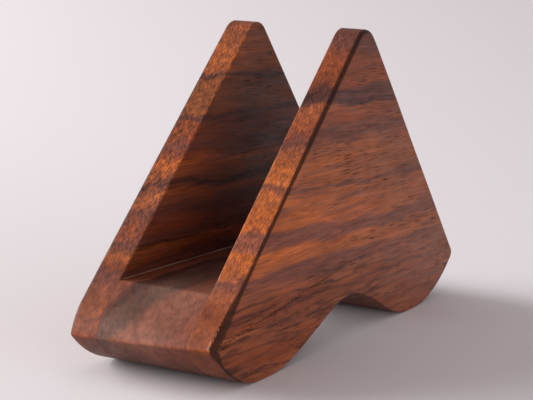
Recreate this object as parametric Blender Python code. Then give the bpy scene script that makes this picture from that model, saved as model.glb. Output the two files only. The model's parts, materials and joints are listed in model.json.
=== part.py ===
"""Desk stand for a dip pen: three hardwood boards glued side by side and shaped as one.

Two gable-shaped cheeks stand either side of a low centre block. Together they leave a straight channel,
open at the front, the back and the top, in which the pen lies.

Metres, +Z up. The origin is on the desk, under the middle of the stand. X runs across the three boards,
with the right cheek at +X, and Y runs along the channel, with the front at -Y.
"""

import bmesh
import bpy
import numpy as np

# Across the boards
CHEEK_THICKNESS = 0.0055
CHANNEL_WIDTH = 0.0178

# The gable outline, before its edges are eased
HALF_LENGTH = 0.0541  # middle of the stand to the lower corner at either end
CORNER_HEIGHT = 0.0089
GABLE_HEIGHT = 0.0613  # where the two slopes would meet
PEAK_RADIUS = 0.0046
FLOOR_HEIGHT = 0.0160  # top of the centre block

# The underside
ARCH_HEIGHT = 0.0083
FRONT_FOOT = 0.0353  # middle of the stand to the middle of the foot's flat
REAR_FOOT = 0.0308  # the same at the rear
FOOT_FLAT = 0.0026

# The front face is sanded steeper towards its lower edge, most of all at the left end
ROLL_RADIUS = 0.0120
LEFT_ROLL = np.radians(32.0)
RIGHT_ROLL = np.radians(7.0)
ROLL_POWER = 1.6  # how soon the roll dies out towards the right
ROLL_START = 0.8  # share of the rolled length that lies above the unrolled corner

# Eased edges
SIDE_EASING = 0.0010
FRONT_EASING = 0.0005
REAR_EASING = 0.0015
EASING_SEGMENTS = 3

# Glue joints
JOINT_GAP = 0.0003
GLUE_THICKNESS = 0.0001
GLUE_INSET = 0.0008  # the film stops short of the boards' edges

# Steps along each stretch of the outline, and outlines across each board
PEAK_STEPS = 12
SLOPE_STEPS = 6
ROLL_STEPS = 2
FOOT_STEPS = 9
ARCH_STEPS = 22
CHEEK_OUTLINES = 4
BLOCK_OUTLINES = 8
GLUE_OUTLINES = 2
SHARP_ANGLE = np.radians(30.0)

# Finishes, as linear RGB and roughness
CHEEK_COLOUR = (0.190, 0.072, 0.036)
BLOCK_COLOUR = (0.155, 0.070, 0.045)
GLUE_COLOUR = (0.420, 0.310, 0.210)
WOOD_ROUGHNESS = 0.5
GLUE_ROUGHNESS = 0.35

CHANNEL_SIDE = CHANNEL_WIDTH / 2
OUTER_SIDE = CHANNEL_SIDE + CHEEK_THICKNESS
BLOCK_SIDE = CHANNEL_SIDE - JOINT_GAP
SLOPE_ANGLE = np.arctan2(GABLE_HEIGHT - CORNER_HEIGHT, HALF_LENGTH)
REAR_CORNER = np.array([HALF_LENGTH, CORNER_HEIGHT])


def clear_scene():
    """Remove every object, so that the file holds only this stand."""
    for item in list(bpy.data.objects):
        bpy.data.objects.remove(item, do_unlink=True)


def plain_material(name, colour, roughness):
    """A Principled material of one linear RGB colour."""
    material = bpy.data.materials.new(name)
    material.use_nodes = True
    shader = material.node_tree.nodes["Principled BSDF"]
    shader.inputs["Base Color"].default_value = (*colour, 1.0)
    shader.inputs["Roughness"].default_value = roughness
    shader.inputs["Metallic"].default_value = 0.0
    return material


def roll_at(x):
    """How far the front face has turned steeper by its lower edge at x."""
    share = (OUTER_SIDE - x) / (2 * OUTER_SIDE)
    return RIGHT_ROLL + (LEFT_ROLL - RIGHT_ROLL) * (1 - (1 - share) ** ROLL_POWER)


def front_curve(x):
    """The rolled stretch of the front face at x: an arc, from the lower edge up to the straight slope."""
    roll = roll_at(x)
    above = ROLL_START * ROLL_RADIUS * roll
    top_y = -HALF_LENGTH + above * np.cos(SLOPE_ANGLE)
    top_z = CORNER_HEIGHT + above * np.sin(SLOPE_ANGLE)
    angle = SLOPE_ANGLE + np.linspace(roll, 0.0, ROLL_STEPS + 1)
    y = top_y - ROLL_RADIUS * (np.sin(angle) - np.sin(SLOPE_ANGLE))
    z = top_z - ROLL_RADIUS * (np.cos(SLOPE_ANGLE) - np.cos(angle))
    return np.column_stack([y, z])


def foot_curve(centre, corner_y, corner_z):
    """The arc that leaves a foot's flat level and rises to a lower corner, for a foot at +Y."""
    start = centre + FOOT_FLAT / 2
    run = corner_y - start
    radius = (run**2 + corner_z**2) / (2 * corner_z)
    angle = np.linspace(0.0, np.arcsin(run / radius), FOOT_STEPS + 1)
    return np.column_stack([start + radius * np.sin(angle), radius * (1 - np.cos(angle))])


def arch_curve():
    """Half a wave of a raised cosine from each foot's flat up to the middle, from the rear to the front."""
    rear = REAR_FOOT - FOOT_FLAT / 2
    front = FRONT_FOOT - FOOT_FLAT / 2
    y = np.linspace(rear, -front, ARCH_STEPS + 1)
    reach = np.where(y > 0, rear, front)
    return np.column_stack([y, ARCH_HEIGHT * np.cos(np.pi * y / (2 * reach)) ** 2])


def peak_curve():
    """The arc over the peak, tangent to both slopes, from the front to the rear."""
    angle = np.linspace(-SLOPE_ANGLE, SLOPE_ANGLE, PEAK_STEPS + 1)
    centre = GABLE_HEIGHT - PEAK_RADIUS / np.cos(SLOPE_ANGLE)
    return np.column_stack([PEAK_RADIUS * np.sin(angle), centre + PEAK_RADIUS * np.cos(angle)])


def between(start, end):
    """Points along a straight stretch, without its two ends."""
    share = np.linspace(0.0, 1.0, SLOPE_STEPS + 1)[1:-1, None]
    return start + (end - start) * share


def underside(front_corner):
    """The outline under the boards, from the rear corner up to the front one, which is left out."""
    rear_foot = foot_curve(REAR_FOOT, *REAR_CORNER)[::-1]
    front_foot = foot_curve(FRONT_FOOT, -front_corner[0], front_corner[1])[:-1] * (-1, 1)
    return np.concatenate([rear_foot, arch_curve(), front_foot])


def cheek_outline(x):
    """A cheek's outline in Y and Z at x, from the front corner over the peak and back underneath."""
    front = front_curve(x)
    peak = peak_curve()
    over = [front, between(front[-1], peak[0]), peak, between(peak[-1], REAR_CORNER)]
    return np.concatenate([*over, underside(front[0])])


def block_outline(x):
    """The centre block's outline in Y and Z at x: a cheek's, cut level at the channel's floor."""
    front = front_curve(x)
    reach = (GABLE_HEIGHT - FLOOR_HEIGHT) / np.tan(SLOPE_ANGLE)
    start = np.array([-reach, FLOOR_HEIGHT])
    end = np.array([reach, FLOOR_HEIGHT])
    return np.concatenate([front, [start], between(start, end), [end], underside(front[0])])


def glue_outline(x):
    """The block's outline moved inwards by the glue's inset, each corner along the line that halves it."""
    outline = block_outline(x)
    ahead = np.roll(outline, -1, axis=0) - outline
    ahead /= np.linalg.norm(ahead, axis=1)[:, None]
    inward = np.column_stack([ahead[:, 1], -ahead[:, 0]])
    both = inward + np.roll(inward, 1, axis=0)
    return outline + 2 * GLUE_INSET * both / (both**2).sum(axis=1)[:, None]


def loft(outline_at, low_x, high_x, outlines):
    """A closed bmesh through the outlines at evenly spaced x, and its rings of corners, one for each."""
    shape = bmesh.new()
    rings = []
    for x in np.linspace(low_x, high_x, outlines):
        rings.append([shape.verts.new((x, y, z)) for y, z in outline_at(x)])
    for near, far in zip(rings, rings[1:]):
        for i in range(len(near)):
            shape.faces.new((near[i], near[i - 1], far[i - 1], far[i]))
    shape.faces.new(rings[0])
    shape.faces.new(rings[-1][::-1])
    return shape, rings


def object_from(name, shape, material):
    """The bmesh as a named object, smooth except across its sharp edges."""
    mesh = bpy.data.meshes.new(name)
    shape.to_mesh(mesh)
    shape.free()
    mesh.materials.append(material)
    mesh.shade_smooth()
    mesh.set_sharp_from_angle(angle=SHARP_ANGLE)
    item = bpy.data.objects.new(name, mesh)
    bpy.context.scene.collection.objects.link(item)
    return item


def make_board(name, outline_at, low_x, high_x, outlines, outer_rings, material):
    """A board whose lower front and rear edges are eased, and the outlines of its outer sides."""
    shape, rings = loft(outline_at, low_x, high_x, outlines)
    rear = max(range(len(rings[0])), key=lambda i: rings[0][i].co.y)
    easings = []
    for near, far in zip(rings, rings[1:]):
        easings.append((near[0], far[0], FRONT_EASING))
        easings.append((near[rear], far[rear], REAR_EASING))
    for ring in outer_rings:
        for i in range(len(rings[ring])):
            easings.append((rings[ring][i - 1], rings[ring][i], SIDE_EASING))
    widest = max(FRONT_EASING, REAR_EASING, SIDE_EASING)
    weight = shape.edges.layers.float.new("bevel_weight_edge")
    for start, end, easing in easings:
        shape.edges.get((start, end))[weight] = easing / widest
    board = object_from(name, shape, material)
    bevel = board.modifiers.new("eased_edges", "BEVEL")
    bevel.limit_method = "WEIGHT"
    bevel.width = widest
    bevel.segments = EASING_SEGMENTS
    bevel.use_clamp_overlap = False


def make_glue_line(name, middle_x, material):
    """The thin film in the middle of a joint's gap."""
    low_x = middle_x - GLUE_THICKNESS / 2
    shape, _ = loft(glue_outline, low_x, low_x + GLUE_THICKNESS, GLUE_OUTLINES)
    object_from(name, shape, material)


def main():
    clear_scene()
    cheek_wood = plain_material("cheek_wood", CHEEK_COLOUR, WOOD_ROUGHNESS)
    block_wood = plain_material("block_wood", BLOCK_COLOUR, WOOD_ROUGHNESS)
    glue = plain_material("set_glue", GLUE_COLOUR, GLUE_ROUGHNESS)
    make_board("left_cheek", cheek_outline, -OUTER_SIDE, -CHANNEL_SIDE, CHEEK_OUTLINES, [0], cheek_wood)
    make_board("right_cheek", cheek_outline, CHANNEL_SIDE, OUTER_SIDE, CHEEK_OUTLINES, [-1], cheek_wood)
    make_board("centre_block", block_outline, -BLOCK_SIDE, BLOCK_SIDE, BLOCK_OUTLINES, [], block_wood)
    joint_middle = (BLOCK_SIDE + CHANNEL_SIDE) / 2
    make_glue_line("left_glue_line", -joint_middle, glue)
    make_glue_line("right_glue_line", joint_middle, glue)


main()
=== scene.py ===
"""Dip pen stand: two gable-shaped rosewood cheeks glued either side of a low centre block.

Laid out as an add-on, and run as a script. Metres, +Z up, in the CAD model's frame: X runs across the three
boards, with the right cheek at +X, and Y runs along the channel, with the front at -Y. The grain of every
board runs along Y. Patterns in the materials are worked out in millimetres.
"""

import json

import bpy
import numpy as np
from bpy.props import FloatProperty, FloatVectorProperty, PointerProperty
from mathutils import Matrix, Vector


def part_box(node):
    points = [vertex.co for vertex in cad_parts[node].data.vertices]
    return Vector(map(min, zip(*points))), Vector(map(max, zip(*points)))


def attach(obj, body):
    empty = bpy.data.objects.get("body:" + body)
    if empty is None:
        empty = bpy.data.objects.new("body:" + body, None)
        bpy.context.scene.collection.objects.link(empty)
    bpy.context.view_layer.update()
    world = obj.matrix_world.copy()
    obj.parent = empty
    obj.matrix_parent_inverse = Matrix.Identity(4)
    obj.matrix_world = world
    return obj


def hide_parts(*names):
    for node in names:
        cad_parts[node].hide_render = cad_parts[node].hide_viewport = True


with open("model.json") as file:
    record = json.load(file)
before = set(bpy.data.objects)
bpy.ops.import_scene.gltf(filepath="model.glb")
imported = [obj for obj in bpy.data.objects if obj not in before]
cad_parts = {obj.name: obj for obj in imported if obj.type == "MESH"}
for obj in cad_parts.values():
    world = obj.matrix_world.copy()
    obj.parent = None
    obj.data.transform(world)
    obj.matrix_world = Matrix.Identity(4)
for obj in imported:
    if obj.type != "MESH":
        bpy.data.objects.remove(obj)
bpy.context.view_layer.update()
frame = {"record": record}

bl_info = {
    "name": "Dip Pen Stand",
    "version": (1, 0, 0),
    "blender": (4, 5, 0),
    "location": "3D View > Sidebar > Pen Stand",
    "description": "Builds a dip pen stand of three glued rosewood boards, and a studio to show it in",
    "category": "Add Mesh",
}

# Places taken from the CAD model
RIGHT_CHEEK_LOW, RIGHT_CHEEK_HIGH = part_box("right_cheek")
BLOCK_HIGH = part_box("centre_block")[1]
MOUNTS = {mount["name"]: mount for mount in frame["record"]["mounts"]}
CHANNEL_SIDE = RIGHT_CHEEK_LOW.x
OUTER_SIDE = RIGHT_CHEEK_HIGH.x
FLOOR_HEIGHT = BLOCK_HIGH.z
FRONT_FOOT = -MOUNTS["front_foot"]["pos_m"][1]
REAR_FOOT = MOUNTS["rear_foot"]["pos_m"][1]

# Points along each stretch of the outline, and rings of points across each board
EASING_POINTS = 9
ROLL_POINTS = 14
SLOPE_POINTS = 64
PEAK_POINTS = 30
LEVEL_POINTS = 70
FOOT_POINTS = 34
FLAT_POINTS = 5
ARCH_POINTS = 76
RIM_RINGS = 7
WIDTH_RINGS = 26
FACE_RINGS = 34
EDGE_OF_FLOOR = EASING_POINTS - 2 + ROLL_POINTS + SLOPE_POINTS  # the front end of the channel's floor
BEAD_STATIONS = 220
BEAD_SIDES = 9

# Boards' tones along their growth: height in millimetres, and a tone of the palette
RIGHT_FIGURE = (
    (0.0, "rust"), (4.0, "brown"), (6.4, "rust"), (9.6, "brown"), (12.4, "rust"), (15.2, "brown"),
    (16.9, "mauve"), (17.7, "purple"), (18.5, "amber"), (21.1, "orange"), (22.3, "mauve"), (24.6, "mauve"),
    (25.5, "orange"), (31.3, "amber"), (32.2, "purple"), (33.2, "amber"), (38.1, "amber"), (40.1, "brown"),
    (41.5, "purple"), (43.2, "rust"), (46.1, "brown"), (46.9, "dark"), (49.6, "dark"), (50.9, "rust"),
    (54.7, "rust"), (56.7, "purple"),
)
LEFT_FIGURE = (
    (0.0, "rust"), (8.7, "mauve"), (12.0, "brown"), (15.8, "mauve"), (18.3, "purple"), (19.5, "rust"),
    (21.4, "amber"), (23.2, "purple"), (25.0, "rust"), (27.5, "purple"), (29.7, "amber"), (31.4, "dark"),
    (34.3, "orange"), (36.3, "rust"), (37.9, "purple"), (39.5, "rust"), (42.6, "rust"), (43.7, "dark"),
    (44.9, "umber"), (49.2, "umber"), (50.3, "dark"), (51.7, "amber"), (56.1, "amber"), (58.4, "brown"),
)
BLOCK_FIGURE = (
    (0.0, "mauve"), (5.7, "clay"), (10.2, "clay"), (12.4, "olive"), (16.6, "olive"), (18.9, "dark"),
    (20.8, "mauve"), (23.0, "rust"), (26.7, "amber"),
)

# Dark growth lines: height in millimetres
RIGHT_LINES = (4.2, 6.1, 7.6, 9.1, 10.6, 12.5, 14.3, 16.3, 49.2)
LEFT_LINES = (5.7, 11.2, 14.7, 22.2, 31.7, 40.7, 53.2)
BLOCK_LINES = (2.7, 19.7, 23.2)
FIGURE_SPAN = 60.0  # millimetres of growth that a colour ramp covers
LINE_HALF_WIDTH = 0.48  # millimetres

# Noise in the wood: millimetres across the grain and along it, detail, roughness, the part of its range that
# is used, and what that part is spread to
GRAIN = {
    "slow_bend": (16.0, 60.0, 1.0, 0.5, (0.25, 0.75), (-1.4, 1.4)),
    "quick_bend": (2.4, 16.0, 3.0, 0.6, (0.25, 0.75), (-0.9, 0.9)),
    "layers": (1.1, 24.0, 2.0, 0.6, (0.42, 0.68), (0.0, 0.5)),
    "broken": (3.0, 16.0, 2.0, 0.5, (0.34, 0.58), (0.0, 0.75)),
    "fine": (0.22, 6.0, 2.0, 0.6, (0.30, 0.70), (-0.22, 0.20)),
    "coarse": (0.8, 15.0, 2.0, 0.6, (0.30, 0.70), (0.84, 1.12)),
    "drift": (7.0, 22.0, 2.0, 0.5, (0.30, 0.70), (0.84, 1.14)),
    "crowding": (4.0, 22.0, 2.0, 0.5, (0.40, 0.68), (-0.13, 0.03)),
    "pores": (0.15, 4.6, 0.0, 0.5, (0.0, 1.0), (0.0, 1.0)),
    "mottle": (1.6, 2.6, 3.0, 0.6, (0.30, 0.70), (-1.0, 1.0)),
    "sheen": (1.2, 9.0, 2.0, 0.5, (0.30, 0.70), (0.40, 0.52)),
}

# How each board was cut, as oiled_rosewood says
# The right cheek's painted_rear_sheen pales its outer face towards the rear
RIGHT_CUT = {
    "figure": RIGHT_FIGURE, "lines": RIGHT_LINES, "lean": (0.12, 0.026, 1.0), "offset": (11.0, 40.0, 3.0),
    "speckle": 0.75, "mottle": 0.14, "depth": 0.08, "painted_rear_sheen": 0.5,
}
# The left cheek's large depth darkens its inner face along the channel: painted shade, beside the wood's own
# difference between faces
LEFT_CUT = {
    "figure": LEFT_FIGURE, "lines": LEFT_LINES, "lean": (-0.15, 0.02, 1.0), "offset": (71.0, 15.0, 93.0),
    "speckle": 1.0, "mottle": 0.22, "depth": 0.42, "painted_rear_sheen": 0.0,
}
BLOCK_CUT = {
    "figure": BLOCK_FIGURE, "lines": BLOCK_LINES, "lean": (-1.0, 0.02, 1.0), "offset": (33.0, 81.0, 57.0),
    "speckle": 0.18, "mottle": 0.16, "depth": 0.25, "painted_rear_sheen": 0.0,
}

# The wood's marks
PORE_LEVELS = (0.61, 0.71)  # the noise that a pore starts at and is full at
PORE_DARKNESS = 0.6
PORE_DULLNESS = 0.2  # how much rougher a pore is
EDGE_PAINTED_SHADE = 0.82  # painted shade in the middle of a wider eased edge
# painted shade on faces turned down
UNDERSIDE_PAINTED_SHADE = -0.35
# a paler line along a front edge: partly wear, partly painted highlight
WEAR_AND_HIGHLIGHT = 0.14
PAINTED_SHEEN_REACH = (-25.0, 50.0)  # millimetres along Y, from no painted sheen to all of it
FIBRE_ENDS_REACH = (12.0, 24.0)  # millimetres of height, from faint fibre ends to full ones
FIBRE_ENDS_LEAST = 0.35
FIBRE_END_WIDTH = 0.26  # millimetres across the board
FIBRE_END_DRAW = 0.55  # how far through the noise a millimetre of height goes
DUST_GRAINS = 2.5  # to a millimetre
DUST_SHADE = 0.6  # of the glue's colour
PAPER_FIBRES = 0.9  # to a millimetre

# The roll of the front face: how soon it dies out to the right, and the share of it above the unrolled corner
ROLL_POWER = 1.6
ROLL_START = 0.8

# Where the easing of an edge changes: a place, and how far on the change is full
LOW_CORNER_BELOW = (0.018, -0.008)
LOW_CORNER_BEFORE = (-0.040, -0.008)
WAIST_ABOVE = (0.012, 0.010)
WAIST_BELOW = (0.046, -0.016)
BEHIND_PEAK = (-0.002, 0.008)
UNDER_BELOW = (0.0082, -0.003)
UNDER_BEFORE = (0.0, -0.004)
FLOOR_CLEAR = (0.0001, 0.0006)  # above the floor, where a cheek's inner edge starts to be eased
BROKEN_EDGE = 0.00003  # the easing of an edge that is only just broken
TYPICAL_HEIGHT = FLOOR_HEIGHT * 3  # where the easing is taken that spaces the rings across a board

# The boards' flat sides: the height of the pole in their middle, and the rings that shrink towards it
CHEEK_POLE = 0.0157
BLOCK_POLE = 0.0122
RIM_SHRINK = (0.996, 0.985)
FACE_SHRINK = (0.965, 0.03)
FILM_SHRINK = (0.2, 0.6, 0.9, 0.98, 1.0)

# Hand sanding leaves the feet flat on the desk and the joints tight; the wider eased edges get painted shade
SANDED_ABOVE = 0.0015
SANDED_BEYOND = 0.001
DARKENED_EASING = 0.3  # share of the outer easing from which an edge is darkened
DARKENED_SPREAD = 1.5  # above 1, the darkening is full for some way to either side of the edge's middle

# The glue
FILM_CLEARANCE = 0.000005
BEAD_SETBACK = 0.0006  # from the ends of the channel's floor
BEAD_TAPER = 0.02  # share of its length
BEAD_LEAST = 0.00002
BEAD_OVERLAP = -0.15  # how far its back corner reaches into the wood, as a share of its size

# The studio, in metres, watts and degrees
CAMERA_PLACE = (0.1316, -0.2679, 0.0728)
CAMERA_YAW = 27.05
CAMERA_PITCH = 9.06
CAMERA_ROLL = 2.76
CAMERA_LENS = 104.6  # millimetres, as is the sensor's width
SENSOR_WIDTH = 36.0
CAMERA_NEAR = 0.01
KEY_PLACE = (-1.30, -0.36, 0.46)
KEY_SIZE = (1.5, 0.9)
KEY_POWER = 37.0
SIDE_PLACE = (1.2, -0.5, 0.25)
SIDE_SIZE = (1.2, 0.4)
SIDE_POWER = 4.5
LIGHT_TARGET = (0.0, 0.0, 0.02)
FILL_STRENGTH = 0.45
FLOOR_FRONT = -1.6
FLOOR_BACK = 0.30
COVE_RADIUS = 1.5
COVE_TURN = 75.0
STAGE_WIDTH = 4.0
STAGE_STEPS = (24, 60, 40)
BACKDROP_SHADE_RISE = 0.35  # how high the paper has risen where its painted shade is as dark as it gets


def linear(code):
    """A #RRGGBB code turned from sRGB to linear: the low end divided by 12.92, the rest raised to 2.4."""
    share = np.array([int(code[i : i + 2], 16) for i in (1, 3, 5)]) / 255
    return tuple(np.where(share <= 0.04045, share / 12.92, ((share + 0.055) / 1.055) ** 2.4))


def length(name, description, default):
    """A length property in metres."""
    return FloatProperty(name=name, description=description, default=default, min=0.0, unit="LENGTH")


def tone(name, description, code):
    """A colour property whose default is an sRGB hex code."""
    return FloatVectorProperty(
        name=name, description=description, default=linear(code), subtype="COLOR", min=0.0, max=1.0
    )


class PenStandSizes(bpy.types.PropertyGroup):
    """The stand's outline and easings. The outline agrees with the CAD model."""

    half_length: length("Half length", "Middle of the stand to a lower corner", 0.0541)
    corner_height: length("Corner height", "Desk to a lower corner", 0.0089)
    gable_height: length("Gable height", "Where the two slopes would meet", 0.0613)
    peak_radius: length("Peak radius", "Rounding of the peak", 0.0046)
    arch_height: length("Arch height", "Desk to the top of the arch", 0.0083)
    foot_flat: length("Foot flat", "Level part of a foot", 0.0026)
    roll_radius: length("Roll radius", "Bend of the front face by its lower edge", 0.0120)
    left_roll: FloatProperty(
        name="Left roll", description="How far the front turns steeper at the left", default=np.radians(32.0),
        subtype="ANGLE",
    )
    right_roll: FloatProperty(
        name="Right roll", description="How far the front turns steeper at the right",
        default=np.radians(7.0), subtype="ANGLE",
    )
    outer_easing: length("Outer easing", "Rounding of the cheeks' outer edges", 0.0010)
    inner_easing: length("Inner easing", "Rounding of the cheeks' edges along the channel", 0.00030)
    front_easing: length("Front easing", "Rounding of the front lower edge", 0.00050)
    rear_easing: length("Rear easing", "Rounding of the rear lower edge", 0.0015)
    hand_sanding: length("Hand sanding", "How uneven the sanded faces are", 0.00007)
    glue_line: length("Glue line", "Thickness of the glue between two boards", 0.00006)
    glue_bead: length("Glue bead", "Height of the glue squeezed out along the channel", 0.00013)


class PenStandColours(bpy.types.PropertyGroup):
    """The wood's tones, and the colours of the glue and the studio."""

    orange: tone("Orange", "Brightest heartwood", "#BE6227")
    amber: tone("Amber", "Light heartwood", "#AC5C2C")
    brown: tone("Brown", "Plain heartwood", "#9A5431")
    clay: tone("Clay", "Pale greyed heartwood", "#8A5643")
    umber: tone("Umber", "Golden brown heartwood", "#904F28")
    rust: tone("Rust", "Deep red heartwood", "#8C4422")
    mauve: tone("Mauve", "Greyed heartwood", "#8A4C37")
    purple: tone("Purple", "Dark purple band", "#714034")
    olive: tone("Olive", "Dark grey-green band", "#62463A")
    dark: tone("Dark", "Darkest band", "#4C2B26")
    # ink is also mixed into the wider eased edges as painted shade
    ink: tone("Ink", "Growth lines and pores", "#24120D")
    glue: tone("Glue", "Set glue", "#84664F")
    floor: tone("Floor", "Studio floor", "#E6E4E7")
    # The backdrop colour is darker than the floor's: painted shade where the paper rises
    backdrop: tone("Backdrop", "Paper where it has risen behind", "#CEC6C6")
    key_light: tone("Key light", "Large soft light", "#FFFBF9")
    fill_light: tone("Fill light", "Light from all round", "#FBF2F3")


def smooth_step(value):
    """0 below 0 and 1 above 1, and 3t^2 - 2t^3 between."""
    share = np.clip(value, 0.0, 1.0)
    return share * share * (3 - 2 * share)


def slope_angle(sizes):
    """The slopes' angle from level, from the rise and the run between a lower corner and the gable's top."""
    return np.arctan2(sizes.gable_height - sizes.corner_height, sizes.half_length)


def roll_at(x, sizes):
    """How far the front face has turned steeper by its lower edge: greatest at the left, falling to the right
    as one minus a power of the share of the way across."""
    share = (OUTER_SIDE - x) / (2 * OUTER_SIDE)
    return sizes.right_roll + (sizes.left_roll - sizes.right_roll) * (1 - (1 - share) ** ROLL_POWER)


def straight(start, end, share):
    """Points at the given shares of the way from each start to its end: start + (end - start) share."""
    return start[..., None] + (end - start)[..., None] * share


def rounded_corner(before, corner, after, count):
    """A quadratic Bezier curve from before to after whose middle control point is the corner:
    (1-t)^2 before + 2t(1-t) corner + t^2 after."""
    t = np.linspace(0.0, 1.0, count)
    return (
        before[..., None] * (1 - t) ** 2 + corner[..., None] * 2 * t * (1 - t) + after[..., None] * t**2
    )


def inner_shares(count):
    """Evenly spaced shares of a stretch, without its two ends."""
    return np.linspace(0.0, 1.0, count + 2)[1:-1]


def outline_at(x, level_top, sizes):
    """The boards' outline in Y and Z for each x, as two arrays with a row for each x. It runs from the eased
    front corner up the rolled arc and the straight slope, over the peak's arc or along the channel's level
    floor, down to the eased rear corner, and back under: an arc for each foot, a short flat, and half a wave
    of a raised cosine up to the arch's top from either foot."""
    x = np.atleast_1d(x)
    angle = slope_angle(sizes)
    radius = sizes.roll_radius
    roll = roll_at(x, sizes)
    above = ROLL_START * radius * roll
    top_y = -sizes.half_length + above * np.cos(angle)
    top_z = sizes.corner_height + above * np.sin(angle)

    def rolled(turn):
        y = top_y[:, None] - radius * (np.sin(angle + turn) - np.sin(angle))
        z = top_z[:, None] - radius * (np.cos(angle) - np.cos(angle + turn))
        return y, z

    corner_y, corner_z = (edge[:, 0] for edge in rolled(roll[:, None]))
    eased_turn = sizes.front_easing / radius
    roll_y, roll_z = rolled(np.linspace(roll - eased_turn, 0.0, ROLL_POINTS, axis=1))

    half_flat = sizes.foot_flat / 2

    def foot(flat_end, out_y, out_z, share):
        run = out_y - flat_end
        bend = (run**2 + out_z**2) / (2 * out_z)
        turn = np.arcsin(run / bend)[:, None] * share
        return flat_end + bend[:, None] * np.sin(turn), bend[:, None] * (1 - np.cos(turn))

    front_end = FRONT_FOOT + half_flat
    front_span = 1 - sizes.front_easing / np.hypot(-corner_y - front_end, corner_z).mean()
    front_y, front_z = foot(front_end, -corner_y, corner_z, np.linspace(0.0, front_span, FOOT_POINTS))
    rear_y = np.full_like(x, sizes.half_length)
    rear_z = np.full_like(x, sizes.corner_height)
    rear_end = REAR_FOOT + half_flat
    rear_span = 1 - sizes.rear_easing / np.hypot(sizes.half_length - rear_end, sizes.corner_height)
    back_y, back_z = foot(rear_end, rear_y, rear_z, np.linspace(rear_span, 0.0, FOOT_POINTS))

    slope_end_y = rear_y - sizes.rear_easing * np.cos(angle)
    slope_end_z = rear_z + sizes.rear_easing * np.sin(angle)
    if level_top:
        reach = (sizes.gable_height - FLOOR_HEIGHT) / np.tan(angle)
        top_span_y = np.linspace(-reach, reach, LEVEL_POINTS)
        top_span_z = np.full(LEVEL_POINTS, FLOOR_HEIGHT)
    else:
        turn = np.linspace(-angle, angle, PEAK_POINTS)
        top_span_y = sizes.peak_radius * np.sin(turn)
        top_span_z = sizes.gable_height + sizes.peak_radius * (np.cos(turn) - 1 / np.cos(angle))
    top_span_y = np.tile(top_span_y, (len(x), 1))
    top_span_z = np.tile(top_span_z, (len(x), 1))

    rear_reach, front_reach = REAR_FOOT - half_flat, FRONT_FOOT - half_flat
    arch_y = np.tile(np.linspace(rear_reach, -front_reach, ARCH_POINTS), (len(x), 1))
    reach = np.where(arch_y > 0, rear_reach, front_reach)
    arch_z = sizes.arch_height * np.cos(np.pi * arch_y / (2 * reach)) ** 2
    flat = np.tile(inner_shares(FLAT_POINTS) * 2 * half_flat, (len(x), 1))
    level = np.zeros_like(flat)

    shares = inner_shares(SLOPE_POINTS)
    y = np.hstack([
        rounded_corner(-front_y[:, -1], corner_y, roll_y[:, 0], EASING_POINTS)[:, 1:-1],
        roll_y,
        straight(roll_y[:, -1], top_span_y[:, 0], shares),
        top_span_y,
        straight(top_span_y[:, -1], slope_end_y, shares),
        rounded_corner(slope_end_y, rear_y, back_y[:, 0], EASING_POINTS)[:, :-1],
        back_y,
        rear_end - flat,
        arch_y,
        -front_reach - flat,
        -front_y,
    ])
    z = np.hstack([
        rounded_corner(front_z[:, -1], corner_z, roll_z[:, 0], EASING_POINTS)[:, 1:-1],
        roll_z,
        straight(roll_z[:, -1], top_span_z[:, 0], shares),
        top_span_z,
        straight(top_span_z[:, -1], slope_end_z, shares),
        rounded_corner(slope_end_z, rear_z, back_z[:, 0], EASING_POINTS)[:, :-1],
        back_z,
        level,
        arch_z,
        level,
        front_z,
    ])
    return y, z


def outward(y, z):
    """Unit normals of closed outlines, from the chord between each point's neighbours turned a quarter."""
    ahead_y = np.roll(y, -1, axis=1) - np.roll(y, 1, axis=1)
    ahead_z = np.roll(z, -1, axis=1) - np.roll(z, 1, axis=1)
    size = np.hypot(ahead_y, ahead_z)
    return -ahead_z / size, ahead_y / size


def unevenness(x, y, z):
    """A slow wave between 0 and 1: a half plus a sixth of the sum of three sines, which have unlike lengths
    along and across the boards."""
    waves = (
        np.sin(y / 0.0061 + 2.1 * np.sin(z / 0.013) + x / 0.004)
        + np.sin(z / 0.0047 - y / 0.017 + x / 0.006)
        + np.sin(y / 0.0113 + z / 0.0094 + 1.7)
    )
    return 0.5 + waves / 6


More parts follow.
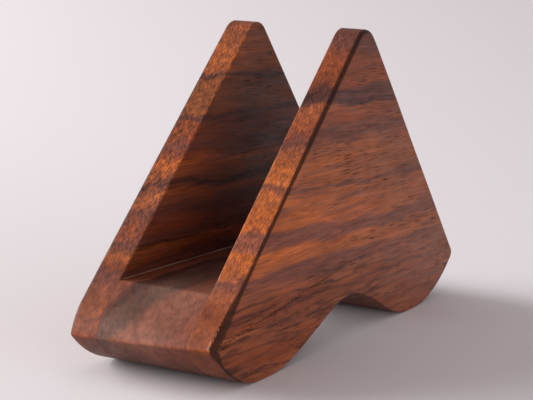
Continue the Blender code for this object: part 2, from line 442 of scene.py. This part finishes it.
def closed_board(name, low_x, high_x, level_top, easings, middle_z, sizes, material):
    """A board as rings of outline points, joined round and closed at a pole in the middle of each side.
    Across the board the rings follow the outline at their x. At either side a quarter circle carries them
    inwards along the outline's normals, by easing times one minus cosine, and then they shrink in steps
    towards the pole. Four attributes say how far the surface cuts across the grain, how near it is to the
    middle of a wider eased edge (for painted shade) or of a front edge (for a paler line that is partly wear
    and partly painted highlight), and how far it faces down."""
    low_easing, high_easing = easings
    quarter = np.linspace(0.0, np.pi / 2, RIM_RINGS)
    low_turn = quarter[::-1]
    rim_turn = np.concatenate([low_turn, np.zeros(WIDTH_RINGS), quarter])
    side = np.concatenate([-np.ones(RIM_RINGS), np.zeros(WIDTH_RINGS), np.ones(RIM_RINGS)])
    widest = max(low_easing(TYPICAL_HEIGHT, 0.0), high_easing(TYPICAL_HEIGHT, 0.0))
    middle_x = np.linspace(low_x + widest, high_x - widest, WIDTH_RINGS + 2)[1:-1]
    ring_x = np.concatenate([np.full(RIM_RINGS, low_x), middle_x, np.full(RIM_RINGS, high_x)])

    y, z = outline_at(ring_x, level_top, sizes)
    normal_y, normal_z = outward(y, z)
    easing = np.where(side[:, None] < 0, low_easing(z, y), high_easing(z, y))
    easing = np.where(side[:, None] == 0, 0.0, easing)
    inset = easing * (1 - np.cos(rim_turn))[:, None]
    x = ring_x[:, None] - side[:, None] * easing * (1 - np.sin(rim_turn))[:, None]
    y = y - normal_y * inset
    z = z - normal_z * inset
    across = np.abs(normal_y) * np.cos(rim_turn)[:, None]
    below = np.clip(-normal_z, 0.0, 1.0) * np.cos(rim_turn)[:, None]
    # Painted shade: the middle of each wider eased edge is marked, for the material to darken
    across_rim = np.minimum(DARKENED_SPREAD * np.sin(2 * rim_turn), 1.0)[:, None]
    eased = np.where(easing > DARKENED_EASING * sizes.outer_easing, across_rim, 0.0)
    # A paler line along the front lower edge and the channel floor's front edge: partly wear, partly painted
    # highlight
    wear_and_highlight = np.zeros_like(y)
    wear_and_highlight[:, : EASING_POINTS - 1] = np.sin(np.linspace(0.0, np.pi, EASING_POINTS - 1))
    if level_top:
        wear_and_highlight[:, EDGE_OF_FLOOR] = 1.0

    shrink = np.concatenate([RIM_SHRINK, np.linspace(*FACE_SHRINK, FACE_RINGS)])[:, None]
    face_y = y[[0, -1]][:, None, :] * shrink
    face_z = middle_z + (z[[0, -1]][:, None, :] - middle_z) * shrink
    face_x = np.broadcast_to(x[[0, -1]][:, None, :], face_y.shape)
    flat = np.zeros_like(face_y[0])
    x = np.vstack([face_x[0][::-1], x, face_x[1]])
    y = np.vstack([face_y[0][::-1], y, face_y[1]])
    z = np.vstack([face_z[0][::-1], z, face_z[1]])
    across = np.vstack([flat, across, flat])
    eased = np.vstack([flat, eased, flat])
    below = np.vstack([flat, below, flat])
    side_rings = len(shrink)
    wear_and_highlight = np.vstack([flat, wear_and_highlight * (1 - eased[side_rings:-side_rings]), flat])

    sanded = sizes.hand_sanding * unevenness(x, y, z)
    rings, points = x.shape
    x = x - np.sign(x) * sanded * (np.abs(x) > CHANNEL_SIDE + SANDED_BEYOND)
    z = z - sanded * smooth_step(z / SANDED_ABOVE) * across

    poles = [(low_x, 0.0, middle_z), (high_x, 0.0, middle_z)]
    vertices = np.vstack([np.dstack([x, y, z]).reshape(-1, 3), poles])
    attributes = {
        "across_grain": np.append(across.ravel(), [0.0, 0.0]),
        "painted_edge_shade": np.append(eased.ravel(), [0.0, 0.0]),
        "wear_and_highlight_edge": np.append(wear_and_highlight.ravel(), [0.0, 0.0]),
        "underside": np.append(below.ravel(), [0.0, 0.0]),
    }
    return mesh_object(name, vertices, ring_faces(rings, points), material, attributes)


def ring_faces(rings, points):
    """Quads between neighbouring rings, and a fan of triangles from each end ring to its pole."""
    here = np.arange(points)
    after = (here + 1) % points
    start = (np.arange(rings - 1) * points)[:, None]
    quads = np.stack([start + here, start + here + points, start + after + points, start + after], axis=2)
    last = (rings - 1) * points
    low_pole = rings * points
    low_fan = np.stack([here, after, np.full(points, low_pole)], axis=1)
    high_fan = np.stack([last + after, last + here, np.full(points, low_pole + 1)], axis=1)
    return [*quads.reshape(-1, 4).tolist(), *low_fan.tolist(), *high_fan.tolist()]


def mesh_object(name, vertices, faces, material, attributes=None):
    """A smooth-shaded object at the origin, with its place in its mesh and its attributes on its points."""
    mesh = bpy.data.meshes.new(name)
    mesh.from_pydata(vertices.tolist(), [], faces)
    for title, values in (attributes or {}).items():
        mesh.attributes.new(title, "FLOAT", "POINT").data.foreach_set("value", values.astype(np.float32))
    mesh.materials.append(material)
    mesh.shade_smooth()
    mesh.update()
    item = bpy.data.objects.new(name, mesh)
    bpy.context.scene.collection.objects.link(item)
    return item


def add_node(tree, kind, sockets=None, stops=None, **settings):
    """Adds a node, sets its settings, and sets or links its sockets. A socket takes a value, another node's
    output, or another node, which stands for its first output in use. stops are a ramp's places and
    colours."""
    made = tree.nodes.new(kind)
    for title, value in settings.items():
        setattr(made, title, value)
    for title, value in (sockets or {}).items():
        if isinstance(value, bpy.types.Node):
            value = next(output for output in value.outputs if output.enabled)
        if isinstance(value, bpy.types.NodeSocket):
            tree.links.new(value, made.inputs[title])
        else:
            made.inputs[title].default_value = value
    if stops:
        elements = made.color_ramp.elements
        elements[0].position, elements[0].color = stops[0][0], (*stops[0][1], 1.0)
        elements[1].position, elements[1].color = stops[-1][0], (*stops[-1][1], 1.0)
        for place, colour in stops[1:-1]:
            elements.new(place).color = (*colour, 1.0)
    return made


def empty_material(title):
    """A material with nothing in its node tree, and that tree."""
    material = bpy.data.materials.new(title)
    material.use_nodes = True
    tree = material.node_tree
    tree.nodes.clear()
    return material, tree


def line_stops(heights):
    """Ramp stops that dip from white to black and back within a line's width at each height."""
    stops = [(0.0, (1.0, 1.0, 1.0))]
    for height in heights:
        stops.append(((height - LINE_HALF_WIDTH) / FIGURE_SPAN, (1.0, 1.0, 1.0)))
        stops.append((height / FIGURE_SPAN, (0.0, 0.0, 0.0)))
        stops.append(((height + LINE_HALF_WIDTH) / FIGURE_SPAN, (1.0, 1.0, 1.0)))
    return [*stops, (1.0, (1.0, 1.0, 1.0))]


def grain_noise(tree, place):
    """Every noise of GRAIN at this place in millimetres, stretched along Y and spread to its range."""
    made = {}
    for title, (across, along, detail, roughness, used, spread_to) in GRAIN.items():
        squeezed = add_node(
            tree, "ShaderNodeVectorMath",
            {0: place, 1: (1 / across, 1 / along, 1 / across)}, operation="MULTIPLY",
        )
        noise = add_node(
            tree, "ShaderNodeTexNoise",
            {"Vector": squeezed, "Scale": 1.0, "Detail": detail, "Roughness": roughness},
        )
        made[title] = add_node(
            tree, "ShaderNodeMapRange",
            {
                "Value": noise, "From Min": used[0], "From Max": used[1],
                "To Min": spread_to[0], "To Max": spread_to[1],
            },
            interpolation_type="LINEAR" if title == "pores" else "SMOOTHSTEP",
        )
    return made


def oiled_rosewood(title, cut, colours):
    """Rosewood, planed, sanded by hand and oiled: bands of orange, brown and purple heartwood that follow the
    growth, thin near-black growth lines, open pores as short dark dashes along the grain, and a satin sheen.

    cut says how the board was cut: its figure and growth lines, its lean (how much the growth height rises
    for each unit of X, Y and Z), its offset (the place in the noise, in millimetres, that it comes from), its
    speckle and mottle (how strongly the ends of fibres and patches of them show), its depth (how much darker
    it is along the grain than across it, partly the wood's own and partly painted shade), and its
    painted_rear_sheen (how far it is mixed towards clay towards the rear, as a painted sheen)."""
    material, tree = empty_material(title)
    place = add_node(tree, "ShaderNodeTexCoord").outputs["Object"]
    mm = add_node(tree, "ShaderNodeVectorMath", {"Vector": place, "Scale": 1000.0}, operation="SCALE")
    moved = add_node(tree, "ShaderNodeVectorMath", {0: mm, 1: cut["offset"]}, operation="ADD")
    grain = grain_noise(tree, moved)
    faces = {
        name: add_node(tree, "ShaderNodeAttribute", attribute_name=name).outputs["Fac"]
        for name in ("across_grain", "painted_edge_shade", "wear_and_highlight_edge", "underside")
    }
    along = add_node(tree, "ShaderNodeMath", {0: 1.0, 1: faces["across_grain"]}, operation="SUBTRACT")

    # Growth: height in the tree, in millimetres, bent by slow noise
    level = add_node(tree, "ShaderNodeVectorMath", {0: mm, 1: cut["lean"]}, operation="DOT_PRODUCT")
    bend = add_node(
        tree, "ShaderNodeMath", {0: grain["slow_bend"], 1: grain["quick_bend"]}, operation="ADD"
    )
    growth = add_node(tree, "ShaderNodeMath", {0: level, 1: bend}, operation="ADD")
    share = add_node(tree, "ShaderNodeMath", {0: growth, 1: FIGURE_SPAN}, operation="DIVIDE")
    figure_stops = [(height / FIGURE_SPAN, getattr(colours, name)) for height, name in cut["figure"]]
    bands = add_node(tree, "ShaderNodeValToRGB", {"Fac": share}, stops=figure_stops)
    between_lines = add_node(tree, "ShaderNodeValToRGB", {"Fac": share}, stops=line_stops(cut["lines"]))
    in_line = add_node(tree, "ShaderNodeMath", {0: 1.0, 1: between_lines}, operation="SUBTRACT")
    unbroken = add_node(tree, "ShaderNodeMath", {0: grain["broken"], 1: along}, operation="MULTIPLY")

    # Pores about 0.2 mm wide and 1 to 4 mm long, thicker on the ground in some layers than in others
    crowded = add_node(tree, "ShaderNodeMath", {0: grain["pores"], 1: grain["crowding"]}, operation="ADD")
    pores = add_node(
        tree, "ShaderNodeMapRange",
        {"Value": crowded, "From Min": PORE_LEVELS[0], "From Max": PORE_LEVELS[1]},
        interpolation_type="SMOOTHSTEP",
    )

    # Layers 1 mm thick that turn purple, and growth lines that come and go
    wood = bands
    for tone_name, amount, strength in (("purple", grain["layers"], 1.0), ("ink", in_line, unbroken)):
        factor = add_node(tree, "ShaderNodeMath", {0: amount, 1: strength}, operation="MULTIPLY")
        wood = add_node(
            tree, "ShaderNodeMix",
            {"Factor": factor, 6: wood, 7: (*getattr(colours, tone_name), 1.0)}, data_type="RGBA",
        )

    # Painted sheen: faces along the grain are mixed towards clay towards the rear of the board
    axes = add_node(tree, "ShaderNodeSeparateXYZ", {0: mm}).outputs
    rearward = add_node(
        tree, "ShaderNodeMapRange",
        {
            "Value": axes["Y"], "From Min": PAINTED_SHEEN_REACH[0], "From Max": PAINTED_SHEEN_REACH[1],
            "To Min": 0.0, "To Max": cut["painted_rear_sheen"],
        },
        interpolation_type="SMOOTHSTEP",
    )
    greyed = add_node(tree, "ShaderNodeMath", {0: rearward, 1: along}, operation="MULTIPLY")
    wood = add_node(
        tree, "ShaderNodeMix", {"Factor": greyed, 6: wood, 7: (*colours.clay, 1.0)}, data_type="RGBA"
    )

    # Light and dark: drifts of tone, fibres, the ends of fibres and patches of them on faces cut across the
    # grain, how much darker the board is along the grain (partly the wood's own, partly painted shade),
    # painted shade underneath, and a paler line along a front edge that is partly wear and partly painted
    # highlight
    ends = fibre_ends(tree, mm, cut["offset"][0])
    upward = add_node(
        tree, "ShaderNodeMapRange",
        {
            "Value": axes["Z"], "From Min": FIBRE_ENDS_REACH[0], "From Max": FIBRE_ENDS_REACH[1],
            "To Min": FIBRE_ENDS_LEAST, "To Max": 1.0,
        },
        interpolation_type="SMOOTHSTEP",
    )
    open_grain = add_node(
        tree, "ShaderNodeMath", {0: faces["across_grain"], 1: upward}, operation="MULTIPLY"
    )
    shades = (
        (grain["fine"], along, 1.0), (ends, open_grain, cut["speckle"]),
        (grain["mottle"], faces["across_grain"], cut["mottle"]), (along, -1.0, cut["depth"]),
        (faces["underside"], 1.0, UNDERSIDE_PAINTED_SHADE), (faces["wear_and_highlight_edge"], 1.0, WEAR_AND_HIGHLIGHT),
    )
    tone_level = add_node(
        tree, "ShaderNodeMath", {0: grain["coarse"], 1: grain["drift"]}, operation="MULTIPLY"
    )
    for amount, strength, most in shades:
        part = add_node(tree, "ShaderNodeMath", {0: amount, 1: strength}, operation="MULTIPLY")
        change = add_node(tree, "ShaderNodeMath", {0: part, 1: most, 2: 1.0}, operation="MULTIPLY_ADD")
        tone_level = add_node(tree, "ShaderNodeMath", {0: tone_level, 1: change}, operation="MULTIPLY")
    wood = add_node(
        tree, "ShaderNodeMix", {"Factor": 1.0, 6: wood, 7: tone_level},
        data_type="RGBA", blend_type="MULTIPLY",
    )

    # Pores, and painted shade along the wider eased edges
    for amount, strength, most in ((pores, along, PORE_DARKNESS), (faces["painted_edge_shade"], 1.0, EDGE_PAINTED_SHADE)):
        part = add_node(tree, "ShaderNodeMath", {0: amount, 1: strength}, operation="MULTIPLY")
        factor = add_node(tree, "ShaderNodeMath", {0: part, 1: most}, operation="MULTIPLY")
        wood = add_node(
            tree, "ShaderNodeMix", {"Factor": factor, 6: wood, 7: (*colours.ink, 1.0)}, data_type="RGBA"
        )

    # Satin oil: duller in the pores
    roughness = add_node(
        tree, "ShaderNodeMath", {0: pores, 1: PORE_DULLNESS, 2: grain["sheen"]}, operation="MULTIPLY_ADD"
    )
    raised = add_node(tree, "ShaderNodeMath", {0: grain["fine"], 1: pores}, operation="SUBTRACT")
    bump = add_node(tree, "ShaderNodeBump", {"Height": raised, "Strength": 0.25, "Distance": 0.0001})
    shader = add_node(
        tree, "ShaderNodeBsdfPrincipled",
        {"Base Color": wood, "Roughness": roughness, "Normal": bump, "IOR": 1.47, "Specular IOR Level": 0.2},
    )
    add_node(tree, "ShaderNodeOutputMaterial", {"Surface": shader})
    return material


def fibre_ends(tree, mm, offset):
    """Specks on the faces cut across the grain, from -1 to 0.8: noise that is narrow across the board and
    drawn out up the slope. Z less the distance from the middle rises up both slopes."""
    axes = add_node(tree, "ShaderNodeSeparateXYZ", {0: mm}).outputs
    sideways = add_node(tree, "ShaderNodeMath", {0: axes["X"], 1: FIBRE_END_WIDTH}, operation="DIVIDE")
    out = add_node(tree, "ShaderNodeMath", {0: axes["Y"]}, operation="ABSOLUTE")
    up = add_node(tree, "ShaderNodeMath", {0: axes["Z"], 1: out}, operation="SUBTRACT")
    up_slope = add_node(tree, "ShaderNodeMath", {0: up, 1: FIBRE_END_DRAW}, operation="MULTIPLY")
    drawn = add_node(tree, "ShaderNodeCombineXYZ", {"X": sideways, "Y": up_slope, "Z": offset})
    noise = add_node(
        tree, "ShaderNodeTexNoise", {"Vector": drawn, "Scale": 1.0, "Detail": 3.0, "Roughness": 0.7}
    )
    return add_node(
        tree, "ShaderNodeMapRange",
        {"Value": noise, "From Min": 0.32, "From Max": 0.68, "To Min": -1.0, "To Max": 0.8},
        interpolation_type="SMOOTHSTEP",
    )


def set_wood_glue(colours):
    """Set wood glue, dried clear yellow with sanding dust in it: slightly glossy, and mottled where the dust
    lies thicker."""
    material, tree = empty_material("set_wood_glue")
    place = add_node(tree, "ShaderNodeTexCoord").outputs["Object"]
    mm = add_node(tree, "ShaderNodeVectorMath", {"Vector": place, "Scale": 1000.0}, operation="SCALE")
    dust = add_node(tree, "ShaderNodeTexNoise", {"Vector": mm, "Scale": DUST_GRAINS, "Detail": 2.0})
    dusty = tuple(channel * DUST_SHADE for channel in colours.glue)
    colour = add_node(
        tree, "ShaderNodeValToRGB", {"Fac": dust}, stops=[(0.35, dusty), (0.65, tuple(colours.glue))]
    )
    bump = add_node(tree, "ShaderNodeBump", {"Height": dust, "Strength": 0.3, "Distance": 0.0001})
    shader = add_node(
        tree, "ShaderNodeBsdfPrincipled",
        {"Base Color": colour, "Roughness": 0.38, "Normal": bump, "IOR": 1.47},
    )
    add_node(tree, "ShaderNodeOutputMaterial", {"Surface": shader})
    return material


def reached(value, change):
    """0 before a change's place and 1 once it is full, as smooth_step of the share of the way between."""
    place, full_after = change
    return smooth_step((value - place) / full_after)


def right_outer_edge(sizes):
    """The easing of the right cheek's outer edge: full up the front slope, slimmer half way up, fuller at the
    lower corner, and light underneath and everywhere behind the peak."""

    def easing(z, y):
        low_front = reached(z, LOW_CORNER_BELOW) * reached(y, LOW_CORNER_BEFORE)
        waist = 0.25 * reached(z, WAIST_ABOVE) * reached(z, WAIST_BELOW)
        under = reached(z, UNDER_BELOW) * reached(y, UNDER_BEFORE)
        behind = reached(y, BEHIND_PEAK)
        front = (0.85 - waist + 0.6 * low_front) * (1 - 0.75 * under)
        return sizes.outer_easing * (front * (1 - behind) + 0.2 * behind)

    return easing


def left_outer_edge(sizes):
    """The easing of the left cheek's outer edge: half of the full easing, and a quarter of it behind."""

    def easing(z, y):
        return sizes.outer_easing * (0.5 - 0.25 * reached(y, BEHIND_PEAK))

    return easing


def inner_edge(sizes):
    """The easing of a cheek's inner edge: light along the channel, and next to nothing in the glued joint."""

    def easing(z, y):
        return BROKEN_EDGE + (sizes.inner_easing - BROKEN_EDGE) * reached(z - FLOOR_HEIGHT, FLOOR_CLEAR)

    return easing


def joint_edge(z, y):
    """The block's edges are cut square and only just broken."""
    return np.full_like(z, BROKEN_EDGE)


class PENSTAND_OT_cheeks(bpy.types.Operator):
    """Make the two gable-shaped cheeks"""

    bl_idname = "penstand.cheeks"
    bl_label = "Cheeks"

    def execute(self, context):
        sizes, colours = context.scene.penstand_sizes, context.scene.penstand_colours
        inner = inner_edge(sizes)
        right_wood = oiled_rosewood("oiled_rosewood_right", RIGHT_CUT, colours)
        left_wood = oiled_rosewood("oiled_rosewood_left", LEFT_CUT, colours)
        right = closed_board(
            "right_cheek_board", CHANNEL_SIDE, OUTER_SIDE, False, (inner, right_outer_edge(sizes)),
            CHEEK_POLE, sizes, right_wood
        )
        left = closed_board(
            "left_cheek_board", -OUTER_SIDE, -CHANNEL_SIDE, False, (left_outer_edge(sizes), inner),
            CHEEK_POLE, sizes, left_wood
        )
        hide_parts("right_cheek")
        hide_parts("left_cheek")
        for cheek in (right, left):
            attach(cheek, "root")
        return {"FINISHED"}


class PENSTAND_OT_block(bpy.types.Operator):
    """Make the low block between the cheeks, whose top is the channel's floor"""

    bl_idname = "penstand.block"
    bl_label = "Centre block"

    def execute(self, context):
        sizes, colours = context.scene.penstand_sizes, context.scene.penstand_colours
        wood = oiled_rosewood("oiled_rosewood_block", BLOCK_CUT, colours)
        side = CHANNEL_SIDE - sizes.glue_line
        block = closed_board(
            "centre_block_board", -side, side, True, (joint_edge, joint_edge), BLOCK_POLE, sizes, wood
        )
        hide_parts("centre_block")
        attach(block, "root")
        return {"FINISHED"}


class PENSTAND_OT_glue(bpy.types.Operator):
    """Make the glue in the two joints, and the beads that were squeezed out along the channel"""

    bl_idname = "penstand.glue"
    bl_label = "Glue"

    def execute(self, context):
        sizes, colours = context.scene.penstand_sizes, context.scene.penstand_colours
        material = set_wood_glue(colours)
        for side, name in ((-1, "left"), (1, "right")):
            film = glue_film(f"{name}_glue_film", side, sizes, material)
            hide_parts(f"{name}_glue_line")
            bead = glue_bead(f"{name}_glue_bead", side, sizes, material)
            for item in (film, bead):
                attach(item, "root")
        return {"FINISHED"}


def glue_film(name, side, sizes, material):
    """The film between the block and a cheek: the block's outline moved in along its normals by half the
    film's thickness, at two values of x, shrunk to a pole at either side."""
    sunk = sizes.glue_line / 2
    inner_x = side * (CHANNEL_SIDE - sizes.glue_line + FILM_CLEARANCE)
    outer_x = side * (CHANNEL_SIDE - FILM_CLEARANCE)
    near, far = sorted((inner_x, outer_x))
    shrink = np.array([*FILM_SHRINK, *FILM_SHRINK[::-1]])[:, None]
    x = np.repeat([near, far], len(FILM_SHRINK))
    y, z = outline_at(x, True, sizes)
    normal_y, normal_z = outward(y, z)
    y = (y - normal_y * sunk) * shrink
    z = BLOCK_POLE + (z - normal_z * sunk - BLOCK_POLE) * shrink
    points = y.shape[1]
    x = np.repeat(x[:, None], points, axis=1)
    poles = [(near, 0.0, BLOCK_POLE), (far, 0.0, BLOCK_POLE)]
    vertices = np.vstack([np.dstack([x, y, z]).reshape(-1, 3), poles])
    return mesh_object(name, vertices, ring_faces(len(shrink), points), material)


def glue_bead(name, side, sizes, material):
    """A bead along the channel's lower corner: a rounded triangle carried along Y, which is a quarter turn
    whose radius dips half way round, and a back corner in the wood. Its size is a base times one plus three
    sines of unlike lengths, and it tapers towards its ends."""
    angle = slope_angle(sizes)
    reach = (sizes.gable_height - FLOOR_HEIGHT) / np.tan(angle) - BEAD_SETBACK
    share = np.linspace(-1.0, 1.0, BEAD_STATIONS)
    y = share * reach
    swell = (
        1
        + 0.3 * np.sin(y / 0.0031 + side)
        + 0.25 * np.sin(y / 0.0013 + 2 * side)
        + 0.2 * np.sin(y / 0.0077)
    )
    size = sizes.glue_bead * swell * smooth_step((1 - np.abs(share)) / BEAD_TAPER) + BEAD_LEAST
    turn = np.linspace(0.0, np.pi / 2, BEAD_SIDES - 1)
    bow = 0.62 + 0.38 * np.abs(np.cos(2 * turn))
    out = np.append(bow * np.cos(turn), BEAD_OVERLAP)
    up = np.append(bow * np.sin(turn), BEAD_OVERLAP)
    x = side * (CHANNEL_SIDE - size[:, None] * out)
    z = FLOOR_HEIGHT + size[:, None] * up
    y = np.repeat(y[:, None], BEAD_SIDES, axis=1)
    ends = [(side * CHANNEL_SIDE, -reach, FLOOR_HEIGHT), (side * CHANNEL_SIDE, reach, FLOOR_HEIGHT)]
    vertices = np.vstack([np.dstack([x, y, z]).reshape(-1, 3), ends])
    faces = ring_faces(BEAD_STATIONS, BEAD_SIDES)
    if side > 0:
        faces = [face[::-1] for face in faces]
    return mesh_object(name, vertices, faces, material)


class PENSTAND_OT_stage(bpy.types.Operator):
    """Make the studio: a pale floor that curves up behind, soft lights and the camera"""

    bl_idname = "penstand.stage"
    bl_label = "Studio"

    def execute(self, context):
        colours = context.scene.penstand_colours
        studio_floor(colours)
        soft_light("key_light", KEY_PLACE, KEY_SIZE, KEY_POWER, colours.key_light)
        soft_light("side_light", SIDE_PLACE, SIDE_SIZE, SIDE_POWER, colours.fill_light)
        even_light(context.scene, colours.fill_light)
        context.scene.view_settings.view_transform = "Standard"
        context.scene.camera = make_camera()
        return {"FINISHED"}


def studio_floor(colours):
    """A sheet of pale paper: level from the front to the start of the cove, and then an arc that curves up.
    It is turned to face the camera. Its colour darkens from the floor's to the backdrop's as it rises:
    painted shade."""
    material, tree = empty_material("matt_backdrop_paper")
    place = add_node(tree, "ShaderNodeTexCoord").outputs["Object"]
    mm = add_node(tree, "ShaderNodeVectorMath", {"Vector": place, "Scale": 1000.0}, operation="SCALE")
    mottle = add_node(tree, "ShaderNodeTexNoise", {"Vector": mm, "Scale": PAPER_FIBRES, "Detail": 3.0})
    height = add_node(tree, "ShaderNodeSeparateXYZ", {0: place}).outputs["Z"]
    # Painted shade: the paper gets darker as it rises
    paper = add_node(
        tree, "ShaderNodeValToRGB", {"Fac": height},
        stops=[(0.0, tuple(colours.floor)), (BACKDROP_SHADE_RISE, tuple(colours.backdrop))],
    )
    fibre = add_node(
        tree, "ShaderNodeMapRange",
        {"Value": mottle, "From Min": 0.3, "From Max": 0.7, "To Min": 0.985, "To Max": 1.0},
    )
    colour = add_node(
        tree, "ShaderNodeMix", {"Factor": 1.0, 6: paper, 7: fibre}, data_type="RGBA", blend_type="MULTIPLY"
    )
    shader = add_node(tree, "ShaderNodeBsdfPrincipled", {"Base Color": colour, "Roughness": 0.85})
    add_node(tree, "ShaderNodeOutputMaterial", {"Surface": shader})

    level_steps, arc_steps, width_steps = STAGE_STEPS
    turn = np.linspace(0.0, np.radians(COVE_TURN), arc_steps)
    level = np.linspace(FLOOR_FRONT, FLOOR_BACK, level_steps)[:-1]
    depth = np.append(level, FLOOR_BACK + COVE_RADIUS * np.sin(turn))
    height = np.append(np.zeros_like(level), COVE_RADIUS * (1 - np.cos(turn)))
    wide = np.linspace(-STAGE_WIDTH / 2, STAGE_WIDTH / 2, width_steps)
    yaw = np.radians(CAMERA_YAW)
    x = wide[None, :] * np.cos(yaw) - depth[:, None] * np.sin(yaw)
    y = wide[None, :] * np.sin(yaw) + depth[:, None] * np.cos(yaw)
    z = np.repeat(height[:, None], width_steps, axis=1)
    rows, columns = x.shape
    start = (np.arange(rows - 1) * columns)[:, None] + np.arange(columns - 1)
    quads = np.stack([start, start + 1, start + 1 + columns, start + columns], axis=2).reshape(-1, 4)
    return mesh_object("studio_floor", np.dstack([x, y, z]).reshape(-1, 3), quads.tolist(), material)


def soft_light(name, place, size, power, colour):
    """A rectangular light at place, turned to face the stand, and left out of what a camera sees."""
    light = bpy.data.lights.new(name, "AREA")
    light.shape = "RECTANGLE"
    light.size, light.size_y = size
    light.energy = power
    light.color = colour
    item = bpy.data.objects.new(name, light)
    item.location = place
    aim = Vector(LIGHT_TARGET) - Vector(place)
    item.rotation_euler = aim.to_track_quat("-Z", "Y").to_euler()
    item.visible_camera = False
    bpy.context.scene.collection.objects.link(item)


def even_light(scene, colour):
    """Soft light from all round."""
    world = bpy.data.worlds.new("even_light")
    world.use_nodes = True
    background = world.node_tree.nodes["Background"]
    background.inputs["Color"].default_value = (*colour, 1.0)
    background.inputs["Strength"].default_value = FILL_STRENGTH
    scene.world = world


def make_camera():
    """A camera turned by yaw from the Y axis, then pitched down, then rolled about its own axis."""
    camera = bpy.data.cameras.new("camera")
    camera.sensor_width = SENSOR_WIDTH
    camera.lens = CAMERA_LENS
    camera.clip_start = CAMERA_NEAR
    item = bpy.data.objects.new("camera", camera)
    yaw = Matrix.Rotation(np.radians(CAMERA_YAW), 4, "Z")
    pitch = Matrix.Rotation(np.radians(90 - CAMERA_PITCH), 4, "X")
    roll = Matrix.Rotation(np.radians(CAMERA_ROLL), 4, "Z")
    item.matrix_world = Matrix.Translation(CAMERA_PLACE) @ yaw @ pitch @ roll
    bpy.context.scene.collection.objects.link(item)
    return item


class PENSTAND_PT_panel(bpy.types.Panel):
    """Sizes, colours and pieces of the pen stand"""

    bl_idname = "PENSTAND_PT_panel"
    bl_label = "Dip Pen Stand"
    bl_space_type = "VIEW_3D"
    bl_region_type = "UI"
    bl_category = "Pen Stand"

    def draw(self, context):
        layout = self.layout
        for group in (context.scene.penstand_sizes, context.scene.penstand_colours):
            column = layout.column(align=True)
            for title in group.bl_rna.properties.keys():
                if title not in ("rna_type", "name"):
                    column.prop(group, title)
        for operator in OPERATORS:
            layout.operator(operator.bl_idname)


OPERATORS = (PENSTAND_OT_cheeks, PENSTAND_OT_block, PENSTAND_OT_glue, PENSTAND_OT_stage)
CLASSES = (PenStandSizes, PenStandColours, *OPERATORS, PENSTAND_PT_panel)


def register():
    for item in CLASSES:
        bpy.utils.register_class(item)
    bpy.types.Scene.penstand_sizes = PointerProperty(type=PenStandSizes)
    bpy.types.Scene.penstand_colours = PointerProperty(type=PenStandColours)


def unregister():
    del bpy.types.Scene.penstand_colours
    del bpy.types.Scene.penstand_sizes
    for item in reversed(CLASSES):
        bpy.utils.unregister_class(item)


def main():
    register()
    bpy.ops.penstand.cheeks()
    bpy.ops.penstand.block()
    bpy.ops.penstand.glue()
    bpy.ops.penstand.stage()


if __name__ == "__main__":
    main()
